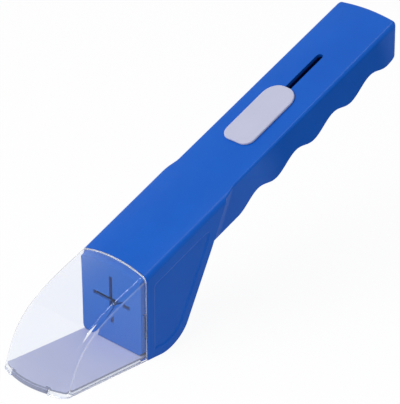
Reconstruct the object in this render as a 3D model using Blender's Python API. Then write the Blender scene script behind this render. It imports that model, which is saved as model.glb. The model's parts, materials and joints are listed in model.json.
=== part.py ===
"""Hand-held insect catcher: a blue case, a clear scoop and a thumb-driven trap door.

X runs from the scoop to the end of the handle, Z stands up from the mouth of the
scoop, and the case is the same on both sides of the XZ plane. Sizes are in metres
and angles in degrees. The rim, where scoop and case meet, is the plane x = 0
while the pieces are drawn; the parent empty then centres the whole on its footprint.
"""
import math

import bmesh
import bpy
from mathutils import Matrix, Vector

# Case: outer form
HEAD_WIDTH = 0.0430
HANDLE_WIDTH = 0.0380
RIM_HEIGHT = 0.0429
TOP_LENGTH = 0.1853
HANDLE_SLOPE = 24.0
RIM_CROWN = 0.0030
HANDLE_CROWN = 0.0011
SHOULDER_RADIUS = 0.0028
CASE_WALL = 0.0018
REAR_CORNER = 0.0020
REAR_BOW = 0.0005
WAIST_START = 0.0565
WAIST_LENGTH = 0.0090

# Case: underside
SOLE_LENGTH = 0.0086
HEEL_RADIUS = 0.0190
BACK_ANGLE = 64.0
NECK_RADIUS = 0.0015
GRIP_DEPTH = 0.0169
GROOVE_DEPTH = 0.0038
GROOVE_PITCH = 0.0277
GROOVE_COUNT = 4
GROOVE_TO_REAR = 0.0287
REAR_RISE = 0.0022
REAR_RADIUS = 0.0012
COVER_WALL = 0.0010
SILL_REACH = 0.0032
SILL_WIDTH = 0.0030

# Case: recessed panel on each cheek
PANEL_FRONT = 0.0042
PANEL_TOP = 0.0065
PANEL_BAND = 0.0036
PANEL_BOTTOM = 0.0039
PANEL_DEPTH = 0.0005
PANEL_EDGE = 0.0014

# Bulkhead with its cross-shaped air vent
BULKHEAD_REACH = 0.0027
BULKHEAD_CORNER = 0.0026
BULKHEAD_WALL = 0.0016
FLANGE_LENGTH = 0.0136
FLANGE_WALL = 0.0012
VENT_HEIGHT = 0.0235
VENT_SPAN = 0.0236
VENT_SLIT = 0.0020
VENT_CENTRE = 0.0243

# Clear scoop
SCOOP_LENGTH = 0.0503
SCOOP_WALL = 0.0015
ROOF_CROWN = 0.0050
ROOF_FALL = 20.5
ROOF_REACH = 0.0395
FRONT_LEAN = 72.0
FRONT_REACH = 0.0235
LEDGE_WIDTH = 0.0022
SNAP_LENGTH = 0.0050
SNAP_ROOT = 0.0016
SNAP_WALL = 0.0012
SNAP_LOW = 0.0111
SNAP_HIGH = 0.0235

# Trap door
DOOR_THICKNESS = 0.0009
DOOR_TRAVEL = 0.0520
DOOR_TAIL = 0.0060
STRIP_COUNT = 4
TONGUE_WIDTH = 0.0240
LIP_WALL = 0.0012
STRAP_BEND = 0.0080

# Thumb slide
PAD_START = 0.0847
PAD_LENGTH = 0.0393
PAD_WIDTH = 0.0185
PAD_THICKNESS = 0.0010
PAD_EDGE = 0.0006
PAD_FRONT_RADIUS = 0.0055
PAD_REAR_RADIUS = 0.0080
STEM_INSET = 0.0022
STEM_LENGTH = 0.0105
STEM_WIDTH = 0.0031
CARRIAGE_LENGTH = 0.0300
CARRIAGE_MARGIN = 0.0090
CARRIAGE_THICKNESS = 0.0022
RAIL_WALL = 0.0008
RAIL_DEPTH = 0.0036

# Cover screws
SCREW_HEAD_RADIUS = 0.0022
SCREW_HEAD_HEIGHT = 0.0015
SCREW_RADIUS = 0.0011
SCREW_GRIP = 0.0060
SCREW_MARGIN = 0.0034
FRONT_SCREW = 0.0500
PILLAR_WALL = 0.0014
SEAT_WALL = 0.0014

# Clearance between neighbouring pieces
FIT_GAP = 0.0003

# Facet counts
ARC_STEPS = 6
GROOVE_STEPS = 10
ROUND_SIDES = 16
ROOF_STATIONS = 14

SLOPE = math.radians(HANDLE_SLOPE)
BACK = math.radians(BACK_ANGLE)
ALONG = Vector((math.cos(SLOPE), 0.0, math.sin(SLOPE)))
NORMAL = Vector((-math.sin(SLOPE), 0.0, math.cos(SLOPE)))
BACK_LINE = Vector((math.cos(BACK), 0.0, math.sin(BACK)))
RIM = Vector((0.0, 0.0, RIM_HEIGHT))
REAR_X = TOP_LENGTH * math.cos(SLOPE)
HEEL_CORNER = Vector((SOLE_LENGTH + HEEL_RADIUS * math.tan(BACK / 2), 0.0, 0.0))

DOOR_BOTTOM = COVER_WALL + FIT_GAP
DOOR_MIDDLE = DOOR_BOTTOM + DOOR_THICKNESS / 2
DOOR_TOP = DOOR_BOTTOM + DOOR_THICKNESS
DOOR_WIDTH = HEAD_WIDTH - 2 * CASE_WALL - 2 * FIT_GAP
CARRIAGE_WIDTH = HANDLE_WIDTH - 2 * CARRIAGE_MARGIN
STRAP_WIDTH = CARRIAGE_WIDTH
SCREW_OFFSET = HANDLE_WIDTH / 2 - CASE_WALL - SCREW_MARGIN
STEM_START = PAD_START + STEM_INSET
CARRIAGE_START = PAD_START
SLOT_WIDTH = STEM_WIDTH + 2 * FIT_GAP
SLOT_START = STEM_START - FIT_GAP
SLOT_END = STEM_START + STEM_LENGTH + DOOR_TRAVEL + FIT_GAP
LAST_CREST = TOP_LENGTH - GROOVE_TO_REAR + GROOVE_PITCH / 2
FIRST_CREST = LAST_CREST - GROOVE_COUNT * GROOVE_PITCH
REAR_SCREW = LAST_CREST


def on_slope(along, across, above):
    """Point given along the handle, across it and above its shoulder line."""
    return RIM + ALONG * along + NORMAL * above + Vector((0.0, across, 0.0))


def meet(point, direction, other, other_direction):
    """Crossing of two lines in the XZ plane."""
    gap = other - point
    cross = direction.x * other_direction.z - direction.z * other_direction.x
    reach = (gap.x * other_direction.z - gap.z * other_direction.x) / cross
    return point + direction * reach


def round_corner(corner, arriving, leaving, radius, steps):
    """Points of the arc that rounds a corner of a path in the XZ plane."""
    turn = math.atan2(
        arriving.x * leaving.z - arriving.z * leaving.x, arriving.dot(leaving)
    )
    side = math.copysign(1.0, turn)
    start = corner - arriving * radius * math.tan(abs(turn) / 2)
    inward = Vector((-arriving.z, 0.0, arriving.x)) * side
    centre = start + inward * radius
    points = []
    for step in range(steps + 1):
        angle = turn * step / steps
        spoke = Matrix.Rotation(-angle, 3, "Y") @ (-inward)
        points.append(centre + spoke * radius)
    return points


def offset_path(points, distance, closed=False):
    """Path in the XZ plane moved to its left by a distance."""
    count = len(points)
    moved = []
    for index, point in enumerate(points):
        before = points[index - 1] if index or closed else None
        after = points[(index + 1) % count] if index < count - 1 or closed else None
        arriving = (point - before).normalized() if before else None
        leaving = (after - point).normalized() if after else arriving
        arriving = arriving or leaving
        left = Vector((-arriving.z, 0.0, arriving.x))
        left += Vector((-leaving.z, 0.0, leaving.x))
        left.normalize()
        spread = left.x * -arriving.z + left.z * arriving.x
        moved.append(point + left * distance / spread)
    return moved


def underside():
    """Lower outline of the case, from the rim to the rear face."""
    level = Vector((1.0, 0.0, 0.0))
    upright = Vector((0.0, 0.0, 1.0))
    grip = on_slope(0.0, 0.0, -GRIP_DEPTH)
    neck = meet(HEEL_CORNER, BACK_LINE, grip, ALONG)
    points = [Vector((0.0, 0.0, 0.0))]
    points += round_corner(HEEL_CORNER, level, BACK_LINE, HEEL_RADIUS, ARC_STEPS)
    points += round_corner(neck, BACK_LINE, ALONG, NECK_RADIUS, ARC_STEPS // 2)
    steps = (GROOVE_COUNT + 1) * GROOVE_STEPS
    for step in range(steps):
        wave = 0.5 - 0.5 * math.cos(2 * math.pi * step / GROOVE_STEPS)
        place = FIRST_CREST + GROOVE_PITCH * step / GROOVE_STEPS
        rise = GROOVE_DEPTH if place < LAST_CREST else REAR_RISE
        point = on_slope(place, 0.0, rise * wave - GRIP_DEPTH)
        if point.x < REAR_X - REAR_RADIUS / 2:
            points.append(point)
    leaving = (points[-1] - points[-2]).normalized()
    rear = meet(points[-1], leaving, Vector((REAR_X, 0.0, 0.0)), upright)
    points += round_corner(rear, leaving, upright, REAR_RADIUS, ARC_STEPS)
    return points


def mesh_object(name, verts, faces):
    """Closed mesh object with its faces turned outward."""
    mesh = bpy.data.meshes.new(name)
    mesh.from_pydata([tuple(v) for v in verts], [], faces)
    shape = bmesh.new()
    shape.from_mesh(mesh)
    bmesh.ops.remove_doubles(shape, verts=shape.verts, dist=1e-7)
    bmesh.ops.recalc_face_normals(shape, faces=shape.faces)
    shape.to_mesh(mesh)
    shape.free()
    shown = bpy.data.objects.new(name, mesh)
    bpy.context.scene.collection.objects.link(shown)
    return shown


def loft(name, loops, laddered=False):
    """Solid through closed loops; laddered ends join the first half to the second."""
    sides = len(loops[0])
    verts = [point for loop in loops for point in loop]
    faces = []
    for row in range(len(loops) - 1):
        for side in range(sides):
            a = row * sides + side
            b = row * sides + (side + 1) % sides
            faces.append((a, b, b + sides, a + sides))
    for first in (0, (len(loops) - 1) * sides):
        if laddered:
            for rung in range(sides // 2 - 1):
                far = sides - 1 - rung
                faces.append(tuple(first + k for k in (rung, rung + 1, far - 1, far)))
        else:
            faces.append(tuple(range(first, first + sides)))
    return mesh_object(name, verts, faces)


def side_prism(name, outline, low, high):
    """Outline in the XZ plane, extruded across from low to high."""
    return loft(name, [[p + Vector((0, y, 0)) for p in outline] for y in (low, high)])


def slope_prism(name, outline, low, high):
    """Outline given along and across the handle, extruded square to it."""
    return loft(name, [[on_slope(u, v, n) for u, v in outline] for n in (low, high)])


def box(name, x, y, z):
    """Block between two limits on each axis."""
    outline = [(x[0], z[0]), (x[1], z[0]), (x[1], z[1]), (x[0], z[1])]
    return side_prism(name, [Vector((a, 0.0, b)) for a, b in outline], y[0], y[1])


def turned(name, base, axis, profile):
    """Round solid from (distance along the axis, radius) pairs."""
    across = Vector((0.0, 1.0, 0.0))
    other = axis.cross(across)
    loops = []
    for distance, radius in profile:
        loop = []
        for side in range(ROUND_SIDES):
            angle = 2 * math.pi * (side + 0.5) / ROUND_SIDES
            spoke = across * math.cos(angle) + other * math.sin(angle)
            loop.append(base + axis * distance + spoke * radius)
        loops.append(loop)
    return loft(name, loops)


def combine(target, tool, operation):
    """Boolean of two objects; the tool is used up."""
    step = target.modifiers.new("step", "BOOLEAN")
    step.object = tool
    step.operation = operation
    step.solver = "EXACT"
    graph = bpy.context.evaluated_depsgraph_get()
    result = bpy.data.meshes.new_from_object(target.evaluated_get(graph))
    target.modifiers.clear()
    target.data = result
    bpy.data.objects.remove(tool, do_unlink=True)
    return target


def cut(target, tool):
    return combine(target, tool, "DIFFERENCE")


def join(target, tool):
    return combine(target, tool, "UNION")


def keep(target, tool):
    return combine(target, tool, "INTERSECT")


def handle_skin(across):
    """Height of the handle's crowned top over its shoulder line."""
    return HANDLE_CROWN * math.cos(SLOPE) * (1.0 - (2 * across / HANDLE_WIDTH) ** 2)


def shoulder_points(half, radius, steps=4, spans=8):
    """Places across a rounded top, each with its drop below the crown."""
    flat = half - radius
    points = []
    for step in range(steps + 1):
        angle = math.pi / 2 * step / steps
        points.append((-flat - radius * math.cos(angle), radius * (1 - math.sin(angle))))
    for span in range(1, spans):
        points.append((-flat + 2 * flat * span / spans, 0.0))
    points += [(-across, drop) for across, drop in reversed(points[: steps + 1])]
    return points


def case_stations(front, rear, inset):
    """Cross-sections of the case: place, lean, nominal and true half width, sink, bow."""
    head = HEAD_WIDTH / 2
    handle = HANDLE_WIDTH / 2
    upright = math.pi / 2
    stations = [(front, upright, head, head, 0.0, 0.0)]
    for step in range(ARC_STEPS + 1):
        blend = 0.5 - 0.5 * math.cos(math.pi * step / ARC_STEPS)
        place = (WAIST_START + WAIST_LENGTH * step / ARC_STEPS) * math.cos(SLOPE)
        half = head + (handle - head) * blend
        stations.append((place, BACK, half, half, 0.0, 0.0))
    corner = max(REAR_CORNER - inset, FIT_GAP)
    for step in range(ARC_STEPS + 1):
        angle = math.pi / 2 * step / ARC_STEPS
        place = rear - corner * (1 - math.sin(angle))
        sink = corner * (1 - math.cos(angle))
        stations.append((place, upright, handle, handle - sink, sink, REAR_BOW))
    return stations


def case_solid(name, inset, front, rear):
    """The sheared, crowned body of the case, drawn in by an inset."""
    loops = []
    radius = max(SHOULDER_RADIUS - inset, FIT_GAP)
    lowered = inset / math.cos(SLOPE)
    waist = (WAIST_START + WAIST_LENGTH) * math.cos(SLOPE)
    for place, lean, nominal, half, sink, bow in case_stations(front, rear, inset):
        top = Vector((place, 0.0, RIM_HEIGHT + place * math.tan(SLOPE)))
        flat = min(max(place / waist, 0.0), 1.0)
        crown = RIM_CROWN + (HANDLE_CROWN - RIM_CROWN) * flat
        depth = top.z + HEEL_RADIUS / 2
        down = Vector((-depth / math.tan(lean), 0.0, -depth))
        upper = []
        lower = []
        for across, drop in shoulder_points(half - inset, radius):
            share = (across / nominal) ** 2
            rise = crown * (1.0 - share) - drop - lowered - sink
            back = bow * share
            upper.append(top + Vector((-back, across, rise - back * math.tan(SLOPE))))
            lower.append(top + down + Vector((-back, across, 0.0)))
        loops.append(upper + lower[::-1])
    return loft(name, loops, laddered=True)


def case_profile(name):
    """Side outline of the case as a wide block."""
    outline = underside()
    high = RIM_HEIGHT + REAR_X
    past = REAR_X + FIT_GAP
    outline += [Vector((past, 0.0, outline[-1].z)), Vector((past, 0.0, high))]
    outline.append(Vector((0.0, 0.0, high)))
    return side_prism(name, outline, -HEAD_WIDTH, HEAD_WIDTH)


def slot_outline(start, end, width):
    """Long slot with round ends, given along and across the handle."""
    radius = width / 2
    outline = []
    for centre, turn in ((end - radius, -math.pi / 2), (start + radius, math.pi / 2)):
        for step in range(ARC_STEPS + 1):
            angle = turn + math.pi * step / ARC_STEPS
            outline.append((centre + radius * math.cos(angle), radius * math.sin(angle)))
    return outline


def plate_outline(start, end, width):
    """Plain rectangle, given along and across the handle."""
    half = width / 2
    return [(start, -half), (end, -half), (end, half), (start, half)]


def cheek_cutter(name, side):
    """Tapered block that sinks the panel into one cheek of the head."""
    level = Vector((1.0, 0.0, 0.0))
    upright = Vector((0.0, 0.0, 1.0))
    back = HEEL_CORNER + Vector((-PANEL_BAND / math.sin(BACK), 0.0, 0.0))
    top = on_slope(0.0, 0.0, -PANEL_TOP)
    front = Vector((PANEL_FRONT, 0.0, PANEL_BOTTOM))
    heel = meet(front, level, back, BACK_LINE)
    crest = meet(back, BACK_LINE, top, ALONG)
    brow = meet(front, upright, top, ALONG)
    outline = [front]
    outline += round_corner(heel, level, BACK_LINE, HEEL_RADIUS - PANEL_BAND, ARC_STEPS)
    outline += round_corner(crest, BACK_LINE, -ALONG, 2 * PANEL_EDGE, 2)
    outline += round_corner(brow, -ALONG, -upright, 2 * PANEL_EDGE, 2)
    floor = offset_path(outline, PANEL_EDGE, closed=True)
    mouth = offset_path(outline, -PANEL_EDGE, closed=True)
    outer = HEAD_WIDTH / 2
    levels = ((floor, outer - PANEL_DEPTH), (outline, outer), (mouth, outer + PANEL_DEPTH))
    return loft(name, [[p + Vector((0, side * y, 0)) for p in path] for path, y in levels])


def screw_places():
    """Along and across the handle for each cover screw."""
    return [(u, v) for u in (FRONT_SCREW, REAR_SCREW) for v in (SCREW_OFFSET, -SCREW_OFFSET)]


SCREW_SINK = 2 * FIT_GAP
SEAT_FLOOR = SCREW_SINK + SCREW_HEAD_HEIGHT + FIT_GAP
SEAT_TOP = SEAT_FLOOR + SEAT_WALL
PILLAR_FOOT = SEAT_TOP + FIT_GAP


def make_upper_shell():
    """Top, both sides and rear of the case in one moulding."""
    shell = case_solid("upper_shell", 0.0, -FIT_GAP, REAR_X)
    keep(shell, case_profile("profile"))
    cut(shell, case_solid("hollow", CASE_WALL, -HEAD_WIDTH / 2, REAR_X - CASE_WALL))
    for side in (-1, 1):
        cut(shell, cheek_cutter("cheek", side))
    for along, across in screw_places():
        foot = on_slope(along, across, -GRIP_DEPTH)
        edge = handle_skin(across) - CASE_WALL / 2
        radius = SCREW_RADIUS + FIT_GAP + PILLAR_WALL
        length = GRIP_DEPTH + edge
        pillar = turned("pillar", foot, NORMAL, [(PILLAR_FOOT, radius), (length, radius)])
        join(shell, pillar)
        depth = PILLAR_FOOT + SCREW_GRIP + FIT_GAP
        bore = SCREW_RADIUS + FIT_GAP
        cut(shell, turned("bore", foot, NORMAL, [(0.0, bore), (depth, bore)]))
    rail_start = CARRIAGE_START - CARRIAGE_THICKNESS
    rail_end = CARRIAGE_START + CARRIAGE_LENGTH + DOOR_TRAVEL + CARRIAGE_THICKNESS
    inner = CARRIAGE_WIDTH / 2 + FIT_GAP
    roof = handle_skin(inner + RAIL_WALL)
    for side in (-1, 1):
        across = sorted((side * inner, side * (inner + RAIL_WALL)))
        outline = [
            (rail_start, across[0]),
            (rail_end, across[0]),
            (rail_end, across[1]),
            (rail_start, across[1]),
        ]
        join(shell, slope_prism("rail", outline, -RAIL_DEPTH, roof - CASE_WALL / 2))
    slot = slot_outline(SLOT_START, SLOT_END, SLOT_WIDTH)
    cut(shell, slope_prism("slot", slot, -CASE_WALL, handle_skin(0.0) + CASE_WALL))
    return shell


def make_grip_cover():
    """Strip that closes the underside, with the finger grooves moulded in."""
    outline = underside()
    outline[0] = Vector((-SILL_REACH, 0.0, 0.0))
    inner = offset_path(outline, COVER_WALL)
    cover = side_prism("grip_cover", outline + inner[::-1], -HEAD_WIDTH, HEAD_WIDTH)
    for along, across in screw_places():
        foot = on_slope(along, across, -GRIP_DEPTH)
        radius = SCREW_HEAD_RADIUS + FIT_GAP + SEAT_WALL / 2
        seat = turned("seat", foot, NORMAL, [(-SEAT_TOP, radius), (SEAT_TOP, radius)])
        keep(seat, case_profile("profile"))
        join(cover, seat)
    fit = CASE_WALL + FIT_GAP
    keep(cover, case_solid("fit", fit, -HEAD_WIDTH / 2, REAR_X - fit))
    for along, across in screw_places():
        foot = on_slope(along, across, -GRIP_DEPTH)
        head = SCREW_HEAD_RADIUS + FIT_GAP
        shank = SCREW_RADIUS + FIT_GAP
        cut(cover, turned("sink", foot, NORMAL, [(-SEAT_TOP, head), (SEAT_FLOOR, head)]))
        cut(cover, turned("hole", foot, NORMAL, [(0.0, shank), (2 * SEAT_TOP, shank)]))
    sill = DOOR_WIDTH / 2 - SILL_WIDTH
    ahead = (-2 * SILL_REACH, 0.0)
    cut(cover, box("mouth", ahead, (-sill, sill), (-COVER_WALL, 2 * COVER_WALL)))
    return cover


def bulkhead_block(front, rear, half):
    """Block behind the rim with its two lower corners rounded."""
    low = DOOR_TOP + FIT_GAP
    outline = [(HEAD_WIDTH, RIM_HEIGHT * 2), (-HEAD_WIDTH, RIM_HEIGHT * 2)]
    outline.append((-HEAD_WIDTH, low + BULKHEAD_CORNER * 2))
    for side, turn in ((-1, math.pi), (1, 1.5 * math.pi)):
        centre = side * (half - BULKHEAD_CORNER)
        for step in range(ARC_STEPS + 1):
            angle = turn + math.pi / 2 * step / ARC_STEPS
            across = centre + BULKHEAD_CORNER * math.cos(angle)
            outline.append((across, low + BULKHEAD_CORNER * (1 + math.sin(angle))))
    outline.append((HEAD_WIDTH, low + BULKHEAD_CORNER * 2))
    return loft("vent_bulkhead", [[Vector((x, y, z)) for y, z in outline] for x in (front, rear)])


def make_bulkhead():
    """Wall behind the catch chamber: it stands into the scoop and has a cross vent."""
    fit = CASE_WALL + FIT_GAP
    front = -BULKHEAD_REACH
    rear = front + FLANGE_LENGTH
    wide = (-HEAD_WIDTH, HEAD_WIDTH)
    wall = bulkhead_block(front, rear, HEAD_WIDTH / 2 - fit)
    keep(wall, case_solid("fit", fit, -HEAD_WIDTH / 2, REAR_X))
    core = box("core", (front + BULKHEAD_WALL, REAR_X), wide, (-RIM_HEIGHT, RIM_HEIGHT * 3))
    keep(core, case_solid("inner", fit + FLANGE_WALL, -HEAD_WIDTH / 2, REAR_X))
    cut(wall, core)
    for side in (-1, 1):
        inner = HEAD_WIDTH / 2 - fit - SNAP_WALL - FIT_GAP
        across = sorted((side * inner, side * HEAD_WIDTH))
        deep = (-SNAP_ROOT - FIT_GAP, SNAP_LENGTH + FIT_GAP)
        cut(wall, box("window", deep, across, (SNAP_LOW - FIT_GAP, SNAP_HIGH + FIT_GAP)))
    through = (front - BULKHEAD_WALL / 2, front + BULKHEAD_WALL * 1.5)
    slit = VENT_SLIT / 2
    low = VENT_CENTRE - VENT_HEIGHT / 2
    cut(wall, box("vent", through, (-slit, slit), (low, low + VENT_HEIGHT)))
    span = (-VENT_SPAN / 2, VENT_SPAN / 2)
    cut(wall, box("vent", through, span, (VENT_CENTRE - slit, VENT_CENTRE + slit)))
    return wall


def scoop_edge(place):
    """Shoulder line of the scoop in side view, with its outward normal."""
    start = Vector((0.0, 0.0, RIM_HEIGHT))
    end = Vector((-SCOOP_LENGTH, 0.0, 0.0))
    fall = math.radians(ROOF_FALL)
    lean = math.radians(FRONT_LEAN)
    first = start + Vector((-math.cos(fall), 0.0, -math.sin(fall))) * ROOF_REACH
    second = end + Vector((math.cos(lean), 0.0, math.sin(lean))) * FRONT_REACH
    t = min(max(place, 0.0), 1.0)
    s = 1.0 - t
    point = start * s**3 + first * (3 * s * s * t) + second * (3 * s * t * t) + end * t**3
    tangent = (first - start) * (s * s) + (second - first) * (2 * s * t)
    tangent += (end - second) * (t * t)
    tangent.normalize()
    point += tangent * (place - t) * SCOOP_LENGTH
    return point, Vector((tangent.z, 0.0, -tangent.x))


def roof_point(place, across, drop, inset):
    """Point on the crowned roof of the scoop, drawn in by an inset."""
    point, normal = scoop_edge(place)
    rise = RIM_CROWN + (ROOF_CROWN - RIM_CROWN) * min(max(place, 0.0), 1.0)
    rise *= 1.0 - (2 * across / HEAD_WIDTH) ** 2
    return point + normal * (rise - drop - inset) + Vector((0.0, across, 0.0))


def scoop_solid(name, inset):
    """Scoop as a solid, open ends run past the rim and the mouth."""
    half = HEAD_WIDTH / 2 - inset
    places = shoulder_points(half, SHOULDER_RADIUS - inset)
    count = len(places)
    verts = []
    stations = ROOF_STATIONS + 3
    for station in range(stations):
        place = (station - 1) / ROOF_STATIONS
        verts += [roof_point(place, across, drop, inset) for across, drop in places]
    verts.append(Vector((SCOOP_LENGTH / 4, -half, -SCOOP_LENGTH / 4)))
    verts.append(Vector((SCOOP_LENGTH / 4, half, -SCOOP_LENGTH / 4)))
    left = len(verts) - 2
    right = len(verts) - 1
    faces = []
    for station in range(stations - 1):
        first = station * count
        for step in range(count - 1):
            a = first + step
            faces.append((a, a + 1, a + 1 + count, a + count))
        faces.append((left, first, first + count))
        faces.append((right, first + 2 * count - 1, first + count - 1))
    last = (stations - 1) * count
    faces.append(tuple(range(count)) + (right, left))
    faces.append(tuple(range(last, last + count)) + (right, left))
    return mesh_object(name, verts, faces)


def lip_reach(across, height, inset):
    """How far forward the scoop's front wall stands at a height above the mouth."""
    radius = SHOULDER_RADIUS - inset
    past = max(abs(across) - (HEAD_WIDTH / 2 - inset - radius), 0.0)
    drop = radius - math.sqrt(max(radius**2 - past**2, 0.0))
    low, high = 0.5, 1.2
    for _ in range(40):
        middle = (low + high) / 2
        if roof_point(middle, across, drop, inset).z > height:
            low = middle
        else:
            high = middle
    return roof_point(low, across, drop, inset).x


def make_scoop():
    """Clear scoop with ledges under the door and a notch for its tongue."""
    wide = (-HEAD_WIDTH, HEAD_WIDTH)
    far = (-2 * SCOOP_LENGTH, SCOOP_LENGTH)
    tall = (COVER_WALL, 2 * RIM_HEIGHT)
    scoop = scoop_solid("clear_scoop", 0.0)
    keep(scoop, box("limit", (far[0], -FIT_GAP), wide, (0.0, tall[1])))
    chamber = scoop_solid("chamber", SCOOP_WALL)
    keep(chamber, box("limit", far, wide, tall))
    cut(scoop, chamber)
    inner = HEAD_WIDTH / 2 - SCOOP_WALL
    mouth = scoop_solid("mouth", SCOOP_WALL)
    gap = inner - LEDGE_WIDTH
    keep(mouth, box("limit", far, (-gap, gap), (-COVER_WALL, 2 * COVER_WALL)))
    cut(scoop, mouth)
    tongue = TONGUE_WIDTH / 2 + FIT_GAP
    notch_rear = lip_reach(HEAD_WIDTH / 2 - SHOULDER_RADIUS, DOOR_TOP, 0.0)
    notch_height = (-COVER_WALL, DOOR_TOP + FIT_GAP)
    cut(scoop, box("notch", (far[0], notch_rear), (-tongue, tongue), notch_height))
    snap_inner = HEAD_WIDTH / 2 - CASE_WALL - FIT_GAP - SNAP_WALL
    snap_rise = (SNAP_LOW, SNAP_HIGH)
    for side in (-1, 1):
        across = sorted((side * (DOOR_WIDTH / 2 - SILL_WIDTH - FIT_GAP), side * inner))
        rear = (-SILL_REACH - FIT_GAP, SCOOP_LENGTH)
        cut(scoop, box("sill_room", rear, across, (-COVER_WALL, 2 * COVER_WALL)))
        middle = inner + SCOOP_WALL / 2
        root = sorted((side * snap_inner, side * middle))
        join(scoop, box("root", (-SNAP_ROOT, -2 * FIT_GAP), root, snap_rise))
        blade = sorted((side * snap_inner, side * (snap_inner + SNAP_WALL)))
        join(scoop, box("snap", (-SNAP_ROOT, SNAP_LENGTH), blade, snap_rise))
    return scoop


STRIP_ANGLE = BACK / STRIP_COUNT
BEND_RADIUS = HEEL_RADIUS - DOOR_MIDDLE
STRIP_CHORD = 2 * BEND_RADIUS * math.sin(STRIP_ANGLE / 2)
TIP_REAR = SOLE_LENGTH - DOOR_TRAVEL
PANEL_START = TIP_REAR + STRIP_COUNT * STRIP_CHORD


def bend_angle(index):
    """How far a strip, or the panel after the last one, turns against the tip."""
    return STRIP_ANGLE * (index + 0.5) if index < STRIP_COUNT else BACK


def bend_axis(index):
    """Middle of the turn that takes a strip, or the panel, to its place when open."""
    flat = Vector((TIP_REAR + index * STRIP_CHORD, 0.0, DOOR_MIDDLE))
    bent = Vector((TIP_REAR, 0.0, DOOR_MIDDLE))
    for step in range(index):
        angle = bend_angle(step)
        bent += Vector((math.cos(angle), 0.0, math.sin(angle))) * STRIP_CHORD
    gap = bent - flat
    square = Vector((-gap.z, 0.0, gap.x))
    return (flat + bent) / 2 + square / (2 * math.tan(bend_angle(index) / 2))


def door_sheet(name, outline, low=DOOR_BOTTOM, high=DOOR_TOP):
    """Flat piece of the door from an outline in plan."""
    return loft(name, [[Vector((x, y, z)) for x, y in outline] for z in (low, high)])


def make_door_tip():
    """Leading end of the door, with a downturned lip that closes the notch."""
    half = DOOR_WIDTH / 2
    tongue = TONGUE_WIDTH / 2
    rear = TIP_REAR - FIT_GAP / 2
    steps = 2 * ARC_STEPS
    outline = [(rear, half), (rear, -half)]
    for low, high, inset in ((-half, -tongue, 1), (-tongue, tongue, 0), (tongue, half, 1)):
        for step in range(steps + 1):
            across = low + (high - low) * step / steps
            if inset:
                drawn = lip_reach(across, DOOR_TOP, SCOOP_WALL + FIT_GAP)
            else:
                drawn = lip_reach(across, DOOR_MIDDLE, 0.0)
            outline.append((drawn, across))
    tip = door_sheet("door_tip", outline)
    front = []
    for step in range(steps + 1):
        across = tongue * (2 * step / steps - 1)
        front.append((lip_reach(across, DOOR_BOTTOM, 0.0), across))
    back = [(drawn + LIP_WALL, across) for drawn, across in reversed(front)]
    join(tip, door_sheet("lip", front + back, FIT_GAP, DOOR_MIDDLE))
    return tip


def make_door_strip(index):
    """One of the narrow strips between the bending lines of the door."""
    half = DOOR_WIDTH / 2
    front = TIP_REAR + index * STRIP_CHORD + FIT_GAP / 2
    rear = front + STRIP_CHORD - FIT_GAP
    outline = [(front, -half), (rear, -half), (rear, half), (front, half)]
    return door_sheet("door_strip_%d" % (index + 1), outline)


def make_door_panel():
    """Rear leaf of the door, narrowing to the strap."""
    half = DOOR_WIDTH / 2
    strap = STRAP_WIDTH / 2
    front = PANEL_START + FIT_GAP / 2
    neck = DOOR_TAIL - (half - strap) / 2
    outline = [(front, -half), (neck, -half), (DOOR_TAIL, -strap)]
    outline += [(x, -y) for x, y in reversed(outline)]
    return door_sheet("door_panel", outline)


def strap_path():
    """Middle line of the strap from the door's tail to the carriage."""
    level = Vector((1.0, 0.0, 0.0))
    back = HEEL_CORNER + Vector((-DOOR_MIDDLE / math.sin(BACK), 0.0, 0.0))
    start = Vector((DOOR_TAIL + FIT_GAP, 0.0, DOOR_MIDDLE))
    lane = on_slope(0.0, 0.0, carriage_top() - CARRIAGE_THICKNESS / 2)
    heel = meet(start, level, back, BACK_LINE)
    bend = meet(back, BACK_LINE, lane, ALONG)
    points = [start]
    points += round_corner(heel, level, BACK_LINE, BEND_RADIUS, ARC_STEPS)
    points += round_corner(bend, BACK_LINE, ALONG, STRAP_BEND, ARC_STEPS)
    points.append(lane + ALONG * (CARRIAGE_START - FIT_GAP))
    return points


def make_strap():
    """Flexible strap that carries the thumb's push round the head to the door."""
    path = strap_path()
    lower = offset_path(path, -DOOR_THICKNESS / 2)
    upper = offset_path(path, DOOR_THICKNESS / 2)
    half = STRAP_WIDTH / 2
    return side_prism("door_strap", lower + upper[::-1], -half, half)


def carriage_top():
    """Height of the carriage's upper face over the shoulder line."""
    return handle_skin(CARRIAGE_WIDTH / 2) - CASE_WALL - FIT_GAP


def make_carriage():
    """Plate under the slot that joins the thumb pad to the strap."""
    top = carriage_top()
    end = CARRIAGE_START + CARRIAGE_LENGTH
    outline = plate_outline(CARRIAGE_START, end, CARRIAGE_WIDTH)
    plate = slope_prism("carriage", outline, top - CARRIAGE_THICKNESS, top)
    start = STEM_START - FIT_GAP
    end = STEM_START + STEM_LENGTH + FIT_GAP
    socket = slot_outline(start, end, SLOT_WIDTH)
    cut(plate, slope_prism("socket", socket, top - 2 * CARRIAGE_THICKNESS, top + CARRIAGE_THICKNESS))
    return plate


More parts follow.
